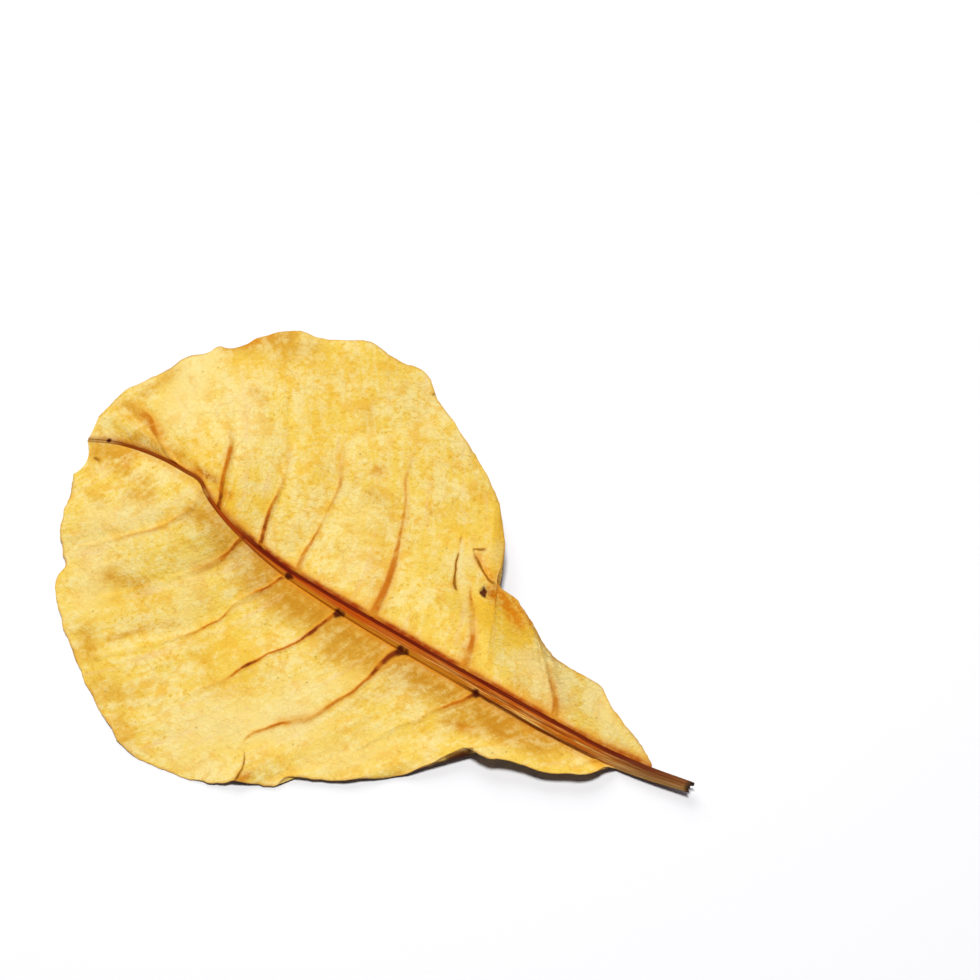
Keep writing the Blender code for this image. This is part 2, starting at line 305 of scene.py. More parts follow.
def rough(points, size, seed):
    """Smooth noise between about -1 and 1 at points of the plan, with humps of that size."""
    flat = points.reshape(-1, points.shape[-1])[:, :2] / size
    values = [noise.noise(Vector((x, y, seed))) for x, y in flat]
    return np.array(values).reshape(points.shape[:-1])


def nicked(edge, reach, margin):
    """The margin's points, moved a little in or out."""
    direction = along(margin, reach + NICK_STEP) - along(margin, reach - NICK_STEP)
    outward = np.stack([-direction[:, 1], direction[:, 0]], axis=1)
    outward /= np.linalg.norm(outward, axis=1)[:, None] + NEARLY
    track = np.stack([reach, np.full(len(reach), reach.max())], axis=1)
    push = sum(depth * rough(track, size, seed) for size, depth, seed in NICKS)
    edge[:, :2] += outward * push[:, None]
    return edge


# %% Blade surface
RISE_CURVE = 1.8      # where the blade rises to its margin, it does so late
FALL_CURVE = 1.1      # where it falls, it runs nearly straight
FULL_FALL = 6         # a fall of this much counts in full
BULGE = 1.0
FULL_BULGE_ROOM = 20  # veins this far apart let the blade between them bulge in full
MARGIN_WAVE = 0.5
WAVES = [(37, 0.8, 0.4), (19, 0.6, 2.1), (61, 0.6, 4.0)]  # length, share, phase
WAVE_CURVE = 4        # how fast the waves die away from the margin


def half_blade(margin, knots, veins, foot):
    """Lower face of one half: a line of points to the margin for each station."""
    hump = 4 * out * (1 - out)
    on_stalk = at <= knots[0, 0] + NEARLY
    reach = np.interp(at, knots[:, 0], knots[:, 1])
    bow = np.where(on_stalk, 0, np.interp(at, knots[:, 0], knots[:, 2]))
    edge = nicked(along(margin, reach), reach, margin)
    edge = np.where(on_stalk[:, None], foot, edge)
    points = foot[:, None] + (edge - foot)[:, None] * out[:, None]
    points[:, :, 0] -= bow[:, None] * hump

    fall = np.clip((foot[:, 2] - edge[:, 2]) / FULL_FALL, 0, 1)
    lift = out ** (RISE_CURVE + (FALL_CURVE - RISE_CURVE) * fall)[:, None]
    points[:, :, 2] = foot[:, 2:3] + (edge[:, 2:3] - foot[:, 2:3]) * lift

    starts = [knots[0, 0]] + [vein[0] for vein in veins] + [at[-1]]
    panel = np.interp(at, starts, range(len(starts)))
    room = np.diff(starts)[np.clip(panel.astype(int), 0, len(veins))]
    bulge = BULGE * np.clip(room / FULL_BULGE_ROOM, 0, 1) * np.abs(np.sin(np.pi * panel))
    points[:, :, 2] += np.where(on_stalk, 0, bulge)[:, None] * hump

    wave = sum(share * np.sin(2 * np.pi * reach / size + phase) for size, share, phase in WAVES)
    points[:, :, 2] += np.where(on_stalk, 0, MARGIN_WAVE * wave)[:, None] * out ** WAVE_CURVE
    return points


# %% [markdown]
# ## The midrib
#
# Beside the stalk the midrib is a stout cord, and it thins all the way to the tip. Its
# underside, which is up here, dried with grooves along it, so its round section is pressed
# in along three lines. Towards the stalk's end it is round below as well, like a keel.

# %% Midrib surface
RIB_AT = [0, 8, 20, 30, 47, 66, 80, 92, 110, 128, 146, 158, 168, 190, 215]
RIB_HALF_WIDTH = [1.5, 1.75, 2.1, 2.3, 2.6, 2.5, 2.3, 2.35, 2.1, 1.6, 1.0, 0.65, 0.5, 0.5, 0.4]
RIB_HEIGHT = [1.4, 1.6, 1.8, 1.9, 1.9, 1.9, 1.9, 1.8, 1.6, 1.3, 0.9, 0.7, 0.5, 0.4, 0.2]
KEEL_DEPTH = [1.0, 0.9, 0.7, 0.4, 0, 0, 0, 0, 0, 0, 0, 0, 0, 0, 0]
GROOVES = [(-0.52, 0.16, 0.16), (0.3, 0.12, 0.13), (0.72, 0.1, 0.1)]  # place, width, depth

centre = along(MIDRIB, at)
forward = np.gradient(centre[:, :2], at, axis=0)
forward /= np.linalg.norm(forward, axis=1)[:, None]
half_width = np.interp(at, RIB_AT, RIB_HALF_WIDTH)
sideways = np.stack([-forward[:, 1], forward[:, 0], np.zeros(len(at))], axis=1)
sideways *= half_width[:, None]

steps = np.sin(np.linspace(-np.pi / 2, np.pi / 2, 2 * RIB_ROWS + 1))
rib_rows = centre[:, None] + sideways[:, None] * steps[:, None]
round_off = np.sqrt(1 - steps ** 2)
pressed = sum(depth * np.exp(-((steps - place) / width) ** 2) for place, width, depth in GROOVES)
rib_height = np.interp(at, RIB_AT, RIB_HEIGHT)[:, None] * round_off * (1 - pressed)
keel = np.interp(at, RIB_AT, KEEL_DEPTH)[:, None] * round_off

far = half_blade(FAR_MARGIN, far_knots, FAR_VEINS, rib_rows[:, 0])
near = half_blade(NEAR_MARGIN, near_knots, NEAR_VEINS, rib_rows[:, -1])
surface = np.concatenate([far[:, ::-1], rib_rows, near], axis=1)
FAR_ROWS = slice(0, BLADE_ROWS)
RIB = slice(BLADE_ROWS, BLADE_ROWS + len(steps))
NEAR_ROWS = slice(BLADE_ROWS + len(steps), surface.shape[1])
print("Surface spans", np.ptp(surface, axis=(0, 1)).round(1), "mm")

# %% [markdown]
# ## Strokes
#
# The veins don't run as straight as the grid does: they wander, swell, fade and come back.
# So each one is drawn as a painter would draw it, as a brush stroke: a few points on the plan,
# each with how dark the stroke is there and its half width. A smooth curve joins the points.
# The creases at the notch, at the pleat and near the tip are strokes too; their dark lines are
# partly the creases' own brown and partly painted shade in the folds.

# %% The side veins as strokes: x, y, darkness, half width
FAR_STROKES = [
    [(43, -3, 0.45, 0.9), (45.6, -8, 0.45, 0.8), (48, -10.5, 0.4, 0.8), (50.5, -13, 0.25, 0.7),
     (53, -15.7, 0, 0.7)],
    [(73, -3, 0.45, 0.9), (75, -9, 0.4, 0.9), (76, -12, 0.6, 0.7), (78.2, -15.5, 0.35, 0.9),
     (81.4, -20.5, 0.35, 0.7), (83.4, -22.8, 0.5, 0.4), (86, -27, 0, 0.5)],
    [(104.5, -3, 0.55, 1.1), (106.3, -11.5, 0.6, 1.2), (108.4, -19.4, 0.6, 1.1),
     (111.4, -27, 0.5, 0.7), (114.4, -34.2, 0.45, 0.5), (117, -40, 0.4, 0.4),
     (121, -46, 0.3, 0.5), (122.5, -52, 0.2, 0.5), (123.7, -56, 0.1, 0.6),
     (129.7, -74, 0, 0.7)],
    [(131.2, -4, 0.45, 0.7), (133.1, -10, 0.4, 0.6), (133.4, -13.5, 0.5, 0.5),
     (133.6, -16.7, 0.45, 0.4), (134.3, -21, 0.25, 0.4), (135.7, -29, 0.3, 0.4),
     (136.7, -34.5, 0.35, 0.5), (139.6, -39.3, 0.2, 0.8), (145.5, -50, 0, 0.6),
     (155, -67, 0, 0.6)],
    [(144, -3, 0.9, 0.5), (146, -8, 0.9, 0.5), (147.4, -11.6, 0.8, 0.5),
     (148.4, -14.4, 0.7, 0.5), (150, -22, 0.35, 0.5), (151.5, -27, 0.15, 0.6),
     (153.8, -32, 0.2, 0.8), (162, -42.5, 0, 0.6), (172, -56.5, 0, 0.6)],
    [(159.4, -5, 1, 0.5), (161.4, -9.2, 0.8, 0.5), (163.6, -13.2, 0.65, 0.6),
     (165.5, -17.2, 0.6, 0.6), (167.6, -22.2, 0.55, 0.7), (169.2, -25.6, 0.35, 0.7),
     (172.9, -29, 0.1, 0.6), (179.3, -35.4, 0, 0.6), (188.2, -45.2, 0, 0.6)],
    [(179, -11, 0, 0.6), (185, -14, 0.15, 0.8), (188.2, -15.8, 0.3, 0.9),
     (192.6, -18.2, 0.45, 0.8), (196.4, -21, 0.5, 0.9), (203.3, -22.6, 0.25, 1.3),
     (210, -25, 0, 1)],
]
NEAR_STROKES = [
    [(25.7, 1, 0.3, 0.4), (27.7, 3.2, 0.25, 0.4), (30.2, 7, 0, 0.4)],
    [(65.6, 0.5, 1, 0.6), (67, 3.6, 0.8, 0.5), (68.2, 5.9, 0.75, 0.5), (70, 8.3, 0.7, 0.45),
     (71.5, 10.7, 0.55, 0.4), (73.8, 13.2, 0.2, 0.5), (75.3, 17.6, 0.15, 0.6),
     (77.8, 20, 0.1, 0.6), (81.7, 27, 0, 0.6), (87, 38.7, 0, 0.6)],
    [(91.2, 0.5, 1, 0.9), (92.8, 3.9, 1, 0.9), (93.7, 7.4, 0.95, 0.8), (94, 11.4, 0.85, 0.7),
     (94.3, 14.3, 0.75, 0.5), (95, 16.5, 0.6, 0.5), (96, 20.7, 0.55, 0.5), (98.5, 26, 0.55, 0.6),
     (100, 30.4, 0.45, 0.7), (101, 32.8, 0.35, 0.8), (105, 36.8, 0.3, 0.8),
     (107, 38.3, 0.6, 0.5), (110.4, 43, 0.5, 0.5), (112, 45.3, 0.45, 0.5), (112.7, 48, 0.3, 0.4),
     (112.6, 50.2, 0, 0.4)],
    [(113.4, -0.5, 1, 0.6), (114.8, 4.2, 0.9, 0.55), (115.7, 7.4, 0.95, 0.6),
     (116.7, 11, 1, 0.6), (117.8, 14.4, 0.8, 0.4), (119.3, 17.5, 0.75, 0.4),
     (123.2, 23.4, 0.65, 0.35), (124.2, 26.2, 0.75, 0.5), (125.8, 28.6, 0.95, 0.55),
     (127, 31.6, 0.75, 0.45), (128, 34.8, 0.3, 0.5), (131, 39.8, 0.15, 0.5),
     (136, 47, 0, 0.6), (145.4, 62.6, 0, 0.6)],
    [(132.4, -1.7, 1, 0.5), (133.7, -0.3, 0.8, 0.4), (134.8, 3, 0.75, 0.4),
     (135.7, 5.5, 0.75, 0.4), (136.8, 7.4, 0.7, 0.45), (139, 11.4, 0.15, 0.4),
     (140.5, 15.8, 0.3, 0.4), (140.6, 18.7, 0.5, 0.35), (141.1, 20.8, 0.5, 0.35),
     (142.6, 23.7, 0.55, 0.4), (145.2, 28.8, 0.35, 0.4), (149.7, 34.2, 0.1, 0.5),
     (159, 44.6, 0, 0.6), (165.7, 52.2, 0, 0.6)],
    [(149.4, -3.4, 0.95, 0.5), (149.9, -0.8, 0.75, 0.4), (150.5, 3, 0.85, 0.4),
     (151.6, 6.7, 0.3, 0.9), (153.4, 9.9, 0.35, 1), (156.7, 14.4, 0.1, 0.8),
     (164, 23, 0, 0.6), (173.7, 34.2, 0, 0.6)],
    [(166.6, -7, 0.1, 0.4), (166, -2.8, 0.15, 0.4), (166.8, 0, 0.2, 0.5), (168.3, 3.3, 0.3, 0.5),
     (170.2, 6.5, 0.3, 0.5), (172.5, 9.2, 0.3, 0.6), (176.1, 12.3, 0.3, 0.5),
     (181.8, 17.3, 0.1, 0.5), (190.2, 24.4, 0, 0.5)],
]

# %% The creases as strokes
CREASES = [
    [(96.3, -38, 0, 0.3), (95.7, -36.8, 0.5, 0.35), (95, -35.4, 0, 0.25), (94.2, -33.6, 0.05, 0.25),
     (93.5, -31.8, 0.4, 0.3), (92.9, -30, 0.6, 0.35), (91.4, -27.4, 0.65, 0.4),
     (90.7, -25.3, 0.7, 0.45), (89.2, -23.5, 0.75, 0.45), (87.4, -22.5, 0, 0.3)],
    [(92.2, -35.2, 0, 0.25), (90.6, -35.9, 0.4, 0.3), (89, -36.8, 0.6, 0.45), (87, -38, 0, 0.5)],
    [(78.2, -29.1, 0, 0.4), (80.5, -29.5, 0.55, 0.5), (82.8, -30.5, 0.65, 0.4),
     (85.4, -31.9, 0.65, 0.4), (87.3, -33.2, 0.5, 0.5), (89.5, -34.4, 0.3, 0.4),
     (90.6, -34.9, 0, 0.3)],
    [(112.6, 50.2, 0, 0.3), (110.8, 51.7, 0.25, 0.3), (109, 53.6, 0.4, 0.3),
     (107.7, 56.5, 0.5, 0.35), (107.3, 58.5, 0.55, 0.35), (107.5, 60.8, 0.55, 0.35)],
    [(205.6, -3.2, 0, 0.5), (203.4, -3.4, 0.5, 0.6), (201.4, -2.8, 0, 0.5)],
]
print("Side veins:", len(FAR_STROKES) + len(NEAR_STROKES), "and creases:", len(CREASES))

# %% [markdown]
# ## How far is each point from a stroke?
#
# The ridges of the veins come from the answer here, and their colour comes from it later.
# The distance has a sign, + on one side of the stroke and - on the other. A mesh keeps only
# one number at each of its points, and the signed one still changes evenly across the stroke
# between two points, so that the painted line comes out far finer than the mesh. Creases
# that lie close together are drawn in directions that give the strip between them one sign.

# %% Distances
STROKE_STEP = 1.5  # between two points of a stroke's curve


def distance_to(points, path):
    """Signed distance in the plan from each point to a bent line, and where along it."""
    nearest = np.full(points.shape[:2], np.inf)
    place = np.zeros(points.shape[:2])
    sign = np.ones(points.shape[:2])
    for number, (start, end) in enumerate(zip(path[:-1, :2], path[1:, :2])):
        run = end - start
        offset = points[:, :, :2] - start
        t = np.clip(offset @ run / (run @ run + NEARLY), 0, 1)
        gap = np.linalg.norm(offset - t[:, :, None] * run, axis=2)
        on_left = run[0] * offset[:, :, 1] > run[1] * offset[:, :, 0]
        closer = gap < nearest
        nearest[closer] = gap[closer]
        place[closer] = number + t[closer]
        sign[closer] = np.where(on_left, 1, -1)[closer]
    return sign * nearest, place


def brushed(stroke):
    """Close points on the smooth curve of a stroke."""
    return along(stroke, np.append(np.arange(0, length_of(stroke), STROKE_STEP), length_of(stroke)))


print("The longest side vein has", max(len(brushed(s)) for s in FAR_STROKES + NEAR_STROKES), "points")

# %% Ink and ridges
STROKE_REACH = 3.5  # in half widths: beyond this a stroke paints nothing
FLARE = 0.7         # how much wider a vein is where it joins the midrib
FLARE_LENGTH = 5
VEIN_HEIGHT = 0.6
VEIN_END_HEIGHT = 0.12
VEIN_FADE = 40      # the ridge loses most of its height over this length
RIDGE_CURVE = 1.5   # softens the foot of a ridge
FAR_OFF = 99.0      # stands for a distance too great to matter
FAR_SIDE = slice(0, BLADE_ROWS + 1)  # with the edge of the midrib
NEAR_SIDE = slice(RIB.stop - 1, surface.shape[1])
BOTH_SIDES = slice(None)

stroke_side = np.full(surface.shape[:2], FAR_OFF)
stroke_ink = np.zeros(surface.shape[:2])
stroke_width = np.ones(surface.shape[:2])
stroke_share = np.full(surface.shape[:2], np.inf)
crease = np.zeros(surface.shape[:2])
vein_ridge = np.zeros(surface.shape[:2])
for strokes, rows in ((FAR_STROKES, FAR_SIDE), (NEAR_STROKES, NEAR_SIDE), (CREASES, BOTH_SIDES)):
    half = surface[:, rows]
    for stroke in strokes:
        path = brushed(stroke)
        side, place = distance_to(half, path)
        number = np.arange(len(path))
        width = np.interp(place, number, path[:, 3])
        ink = np.interp(place, number, path[:, 2])
        if strokes is not CREASES:
            width *= 1 + FLARE * np.exp(-place * STROKE_STEP / FLARE_LENGTH)
        share = np.abs(side) / width
        closer = share < stroke_share[:, rows]
        stroke_share[:, rows][closer] = share[closer]
        crease[:, rows][closer] = strokes is CREASES
        stroke_side[:, rows][closer] = side[closer]
        stroke_width[:, rows][closer] = width[closer]
        stroke_ink[:, rows][closer] = (ink * np.clip(STROKE_REACH - share, 0, 1))[closer]
        if strokes is not CREASES:
            foot = VEIN_HALF_WIDTH + (VEIN_END_HALF_WIDTH - VEIN_HALF_WIDTH) * place / len(path)
            height = np.exp(-place * STROKE_STEP / VEIN_FADE)
            height = VEIN_END_HEIGHT + (VEIN_HEIGHT - VEIN_END_HEIGHT) * height
            ridge = height * np.clip(1 - (side / foot) ** 2, 0, 1) ** RIDGE_CURVE
            vein_ridge[:, rows] = np.maximum(vein_ridge[:, rows], ridge)
print("Points on a vein's ridge:", int((vein_ridge > 0).sum()))

# %% [markdown]
# ## Folds
#
# Where the margin has its notch, the blade folded over while it dried and left sharp creases
# and a small deep pit. On the near half a short pleat runs in from the margin. Each fold is a
# line with the blade steep on one side of it and easing away on the other.

# %% Folds
FOLDS = [  # path, rise beside it, distance over which that fades
    ([(111.7, 48.6), (109, 53.3), (107.4, 62)], 1.3, 7),
    ([(77, -29), (81.5, -28.7), (86.5, -32.2), (89.7, -34.1)], 0.9, 5),
    ([(95.5, -36.8), (93.5, -32), (90.5, -25), (86.7, -21.2)], 0.7, 5),
]
FOLD_WIDTH = 1.3  # over which its steep side fades
PIT = (81.3, -26.4)
PIT_DEPTH = 0.9
PIT_RADIUS = 1.1
for path, rise, reach in FOLDS:
    side, _ = distance_to(surface, np.array(path, float))
    surface[:, :, 2] += rise * np.exp(-np.abs(side) / np.where(side > 0, reach, FOLD_WIDTH))
to_pit = np.linalg.norm(surface[:, :, :2] - np.array(PIT), axis=2)
surface[:, :, 2] -= PIT_DEPTH * np.exp(-(to_pit / PIT_RADIUS) ** 2)
print("Folds:", len(FOLDS), "and the pit", PIT_DEPTH, "mm deep")

# %% [markdown]
# ## Two faces from one surface
#
# A leaf is a sheet, so it needs a lower and an upper face. The lower one is flattened where
# the leaf lies on the paper. The upper one stands a blade's thickness above it and carries
# the midrib and the veins. The blade is thinnest at its margin. Noise adds the small crumples
# of a dry leaf, which die away beside the stiff midrib.

# %% Settling on the paper
FLOOR_BLEND = 1.0


def settle(height):
    """Heights below zero lie on the surface, and the rest curves up from it."""
    blend = height * height / (2 * FLOOR_BLEND)
    raised = np.where(height < FLOOR_BLEND, blend, height - FLOOR_BLEND / 2)
    return np.where(height <= 0, 0.0, raised)


foot_gap = np.zeros(surface.shape[:2])
rim_gap = np.full(surface.shape[:2], FAR_OFF)
for rows, foot, edge in ((FAR_ROWS, RIB.start, 0), (NEAR_ROWS, RIB.stop - 1, -1)):
    beside = surface[:, rows, :2] - surface[:, foot, None, :2]
    foot_gap[:, rows] = np.linalg.norm(beside, axis=2)
    rim_gap[:, rows] = np.abs(distance_to(surface[:, rows], surface[:, edge])[0])
print("From the midrib to the margin it is at most", round(float(foot_gap.max()), 1), "mm")

# %% Lower and upper face
CRUMPLES = [(17, 0.55, 11.0), (6, 0.22, 47.0), (2.6, 0.07, 83.0)]  # size, height, seed
LYING_CRUMPLE = (-0.1, 0.5)  # limits of a crumple where the lower face lies on the paper
LOOSE_FROM = 10  # this far from the midrib the blade is free to crumple in full
BLADE = 0.55
RIM_BLADE = 0.4
RIM_TAPER = 3
FILLET = 0.35    # the blade climbs this much where it meets the midrib
FILLET_REACH = 0.7

loose = np.clip(foot_gap / LOOSE_FROM, 0, 1)
crumple = sum(height * rough(surface, size, seed) for size, height, seed in CRUMPLES)
lower = surface.copy()
lower[:, :, 2] = settle(surface[:, :, 2] + crumple * loose)
upper = lower.copy()
upper[:, :, 2] += RIM_BLADE + (BLADE - RIM_BLADE) * np.clip(rim_gap / RIM_TAPER, 0, 1)
lying = np.clip(1 - lower[:, :, 2], 0, 1)
upper[:, :, 2] += lying * loose * np.clip(crumple, *LYING_CRUMPLE) + vein_ridge
upper[:, :, 2] += FILLET * np.exp(-foot_gap / FILLET_REACH) * (foot_gap > 0)
upper[:, RIB, 2] += rib_height
lower[:, RIB, 2] -= keel
print("Lowest point", lower[:, :, 2].min().round(2), "highest", upper[:, :, 2].max().round(2))

# %% [markdown]
# ## A ragged end
#
# The fibres of the stalk broke off at different lengths, so its end is pushed in and out by
# noise, with a splinter standing out at one side.

# %% Ragged end
RAGGED_ROOM = 2.5    # how far from the end the stalk is ragged
RAGGED_DEPTH = 0.9
RAGGED_MIDDLE = 0.5  # share of that depth at which a fibre breaks on average
RAGGED_SPREAD = 1.4
FIBRE_STEP = 0.7     # between two fibres, in the noise
FIBRE_SEED = 3.3
SPLINTER = 0.8
SPLINTER_AT = -0.8   # in half widths of the stalk, on the far side
SPLINTER_WIDTH = 0.25

in_noise = np.arange(len(steps)) * FIBRE_STEP
pull = np.array([noise.noise(Vector((spot, FIBRE_SEED, 0))) for spot in in_noise])
pull = RAGGED_DEPTH * np.clip(RAGGED_MIDDLE + RAGGED_SPREAD * pull, 0, 1)
pull -= SPLINTER * np.exp(-((steps - SPLINTER_AT) / SPLINTER_WIDTH) ** 2)
pull = pull * np.clip(1 - at / RAGGED_ROOM, 0, 1)[:, None]
upper[:, RIB, 0] += pull
lower[:, RIB, 0] += pull
print("The splinter stands out", round(float(-pull.min()), 2), "mm")

# %% [markdown]
# ## The mesh
#
# The grid's cells become the upper faces, the same cells turned over become the lower ones,
# and a wall closes the way between them along every open edge. Beside the stalk there is
# no blade, so there all blade points of a column are the one at the midrib's foot, and the
# cells between them vanish.

# %% Faces
columns, rows = surface.shape[:2]
number = np.arange(columns * rows).reshape(columns, rows)
far_bare = at <= FAR_START + NEARLY
near_bare = at <= NEAR_START + NEARLY
number[far_bare, :RIB.start] = number[far_bare, RIB.start][:, None]
number[near_bare, RIB.stop:] = number[near_bare, RIB.stop - 1][:, None]
cells = np.stack([number[:-1, :-1], number[1:, :-1], number[1:, 1:], number[:-1, 1:]], axis=-1)

upper_faces = []
for cell in cells.reshape(-1, 4).tolist():
    ring = list(dict.fromkeys(cell))
    if len(ring) > 2:
        upper_faces.append(ring)
used = sorted({corner for face in upper_faces for corner in face})
renumber = {corner: new for new, corner in enumerate(used)}
upper_faces = [[renumber[corner] for corner in face] for face in upper_faces]
count = len(used)
lower_faces = [[corner + count for corner in reversed(face)] for face in upper_faces]
borders = set()
for face in upper_faces:
    borders.update(zip(face, face[1:] + face[:1]))
walls = [(a, a + count, b + count, b) for a, b in borders if (b, a) not in borders]
walls.sort()
print("Faces:", 2 * len(upper_faces), "and", len(walls), "in the wall")

# %% Mesh
SHARP_ANGLE = 65  # degrees from which an edge is left sharp

plan_shift = np.array([*PLAN_ORIGIN, 0])
upper_points = (upper.reshape(-1, 3)[used] - plan_shift) * MM
lower_points = (lower.reshape(-1, 3)[used] - plan_shift) * MM
mesh = bpy.data.meshes.new("leaf_skin")
points = np.concatenate([upper_points, lower_points]).tolist()
mesh.from_pydata(points, [], upper_faces + lower_faces + walls)
mesh.validate()
mesh.shade_smooth()
mesh.set_sharp_from_angle(angle=math.radians(SHARP_ANGLE))
leaf = bpy.data.objects.new("leaf_skin", mesh)
bpy.context.scene.collection.objects.link(leaf)
triangles = sum(len(face.vertices) - 2 for face in mesh.polygons)
print("The leaf has", triangles, "triangles")

# %% [markdown]
# ## Stains
#
# Drying left patches of other colours: ochre, orange and brown ones, mostly beside the veins
# and the margin, and gold and cream ones between them. Each is a soft streak from one point
# of the leaf to another. The paint will break up its edge with noise, so that none of them
# looks airbrushed. Two cream streaks beside the creases at the notch are a painted highlight
# on the folds. The dark blots sit where the side veins join the midrib and here and there;
# those in the pit are painted shade, and a row of them along the steep lip in the near
# margin's inner corner is painted shade too.

# %% Stains, in mm on the plan: from, to, width, strength
STAINS = {
    "ochre": [
        ((42, 8.5), (58, 9), 3.4, 0.7), ((59, 11), (68, 13), 2.6, 0.8), ((98, 9), (108, 12), 4.2, 0.8),
        ((118, 4), (131, 5), 3.4, 0.7), ((124, 8), (139, 6), 3.4, 0.6), ((150, 2), (158, 0), 3, 0.6),
        ((157, -2), (166, 0), 3, 0.8), ((184, -2), (203, -4), 2.8, 0.6), ((180, 1), (186, 3), 2.4, 0.6),
        ((205, -6), (195, -8), 3, 1), ((196, -14), (180, -14), 2.6, 0.8),
        ((192, 10), (198, 8), 2, 0.4), ((165, 24), (176, 27), 2.4, 0.7), ((166, 50), (171, 45), 3, 0.7),
        ((148, 55), (158, 57), 4, 0.5), ((141, 66), (147, 62), 3.4, 0.5), ((158, 35), (164, 43), 1.1, 0.8),
        ((151, 29), (158, 35), 1.2, 0.4), ((131, 39), (141, 32), 4, 0.3), ((103, 34), (108, 38), 1.4, 0.5),
        ((123, -37), (128, -37), 1.5, 0.5), ((129, -44), (130, -43), 1.6, 0.9),
        ((187, -59), (178, -66), 4.5, 0.9), ((191, -54), (185, -60), 2.6, 0.8),
        ((169, -67), (177, -62), 3.5, 0.6), ((171, -44), (175, -46), 2, 0.4),
        ((200, -37), (204, -28), 2.6, 0.5), ((196, -19), (206, -22), 3, 0.7),
        ((140, -55), (143, -58), 2.5, 0.3), ((110, -12), (117, -30), 2.6, 0.3),
        ((96, -60), (106, -62), 1.6, 0.3), ((88, 14), (94, 22), 2.5, 0.3), ((45, -4), (58, -7), 2.4, 0.7),
        ((73, -3), (76, -9), 2.2, 0.7), ((172, -13), (190, -13.5), 1.8, 0.7),
        ((60, 10.8), (69, 14), 1.3, 1), ((51, 8.5), (58, 8.3), 1.5, 1), ((41, 7.2), (51, 8.8), 1.1, 0.8),
    ],
    "gold": [
        ((147, -38), (150, -42), 3, 0.8), ((140, -33), (145, -30), 4, 0.5), ((162, -13), (176, -18), 4, 0.8),
        ((63, -19.5), (79, -21.5), 3.6, 1.5), ((95, -38), (101, -43), 3, 0.6),
        ((117, -54), (127, -63), 4, 0.5),
        ((83, -20), (88, -24), 3, 0.5), ((84, -40), (90, -48), 4, 0.5), ((130, 22), (124, 32), 5, 0.5),
        ((141, 24), (135, 32), 5, 0.4), ((64, 9), (72, 16), 4, 0.6), ((100, 16), (95, 24), 3, 0.4),
        ((153, -47), (158, -52), 4, 0.4), ((172, -58), (184, -50), 5, 0.6), ((140, -12), (152, -16), 4, 0.4),
        ((116, -20), (124, -26), 4, 0.4), ((160, 28), (172, 34), 5, 0.4), ((80, -32), (86, -36), 2, 0.7),
        ((148, -66), (172, -60), 7, 0.5), ((152, -7), (166, -10), 4, 0.8), ((172, -13), (184, -16), 4, 0.7),
    ],
    "orange": [
        ((66, -21.8), (74, -25), 2.1, 1.05), ((74, -25), (79.5, -27.5), 1.8, 1.1),
        ((77, -27), (80, -32), 1.3, 0.6), ((63, -23), (73, -27.4), 0.9, 0.8),
        ((129, -44), (129.5, -43.5), 1.3, 0.5), ((187, -58), (183, -63), 1.8, 0.6),
        ((160, -11), (162, -10.5), 1.4, 0.7), ((193, -5), (195, -6), 1.4, 0.5),
        ((105.5, 57), (107, 61), 1.1, 0.8), ((61, 12), (64, 13), 1.2, 0.5),
        ((81, -30.6), (88.5, -34.6), 1.1, 0.7),
        ((190, -18), (199, -21.5), 1.6, 0.6),
    ],
    "brown": [
        ((172, -11.6), (165.8, -12.4), 1.5, 1), ((79.6, -26.8), (77.6, -26), 0.8, 0.9),
        ((79.5, -28.6), (77, -27.4), 0.9, 0.7), ((53, 8.4), (57, 8.2), 1, 0.6),
        ((64, 12), (67, 13.2), 0.9, 0.4),
    ],
    "cream": [
        ((104, 34), (126, 52), 8, 0.6), ((99, 19), (110, 30), 5, 0.45), ((189, -28), (197, -50), 7, 0.7),
        ((44, -9), (60, -15), 3.4, 0.6), ((84, -37), (94, -29), 2.6, 0.6),
        # The next two cream streaks, beside the creases at the notch, are a painted highlight on the folds.
        ((94.8, -36.5), (91.6, -30.2), 0.8, 1), ((91.6, -30.2), (88.6, -24.7), 0.8, 1),
        ((90, -27.4), (81, -17.4), 1.1, 0.6), ((119, -13), (126, -30), 5, 0.35),
        ((176, 36), (186, 20), 6, 0.45), ((28, -8), (38, -15), 3, 0.55), ((168, -33), (182, -45), 6, 0.4),
        ((112, 60), (126, 63), 5, 0.35), ((178, 6), (190, 14), 5, 0.45), ((156, 12), (150, 26), 5, 0.3),
        ((50, 15), (54, 18), 2.6, 0.4), ((80, 30), (92, 44), 6, 0.3),
    ],
}
BLOTS_AND_PIT_SHADE = [  # centre, radius, strength
    ((91.5, 2.1), 1.3, 1), ((89.8, 1.5), 0.9, 0.8), ((66, 2.1), 1.1, 1),
    ((113.6, 1.4), 1.2, 1), ((112, 0.9), 0.8, 0.8), ((132.6, -1.2), 1.0, 0.9),
    ((131, -1.2), 0.5, 0.7),
    ((149.4, -3.1), 0.7, 0.5), ((204.2, -10.3), 0.7, 0.9), ((107.1, 38.3), 0.4, 0.5),
    # The three blots in the next row are painted shade in the pit.
    ((81.4, -26.2), 1.0, 1), ((80.3, -25.6), 0.6, 1), ((81.9, -27.6), 0.5, 1),
    ((128, -72.3), 0.5, 0.7), ((185.8, -31.2), 0.4, 0.5),
]
# A row of blots along the steep lip of the near margin's inner corner is painted shade.
LIP_SHADE_ENDS = ((61.2, 23.6), (56.88, 19.04))
LIP_SHADE_COUNT = 7
LIP_SHADE_RADIUS = 0.7
LIP_SHADE_BLOTS = [(spot, LIP_SHADE_RADIUS, 1) for spot in np.linspace(*LIP_SHADE_ENDS, LIP_SHADE_COUNT)]
print("Stains:", {kind: len(rows) for kind, rows in STAINS.items()}, "blots:", len(BLOTS_AND_PIT_SHADE + LIP_SHADE_BLOTS))

# %% Stains and blots laid on the surface
BLOT_REACH = 1.6  # in radii: where a blot ends

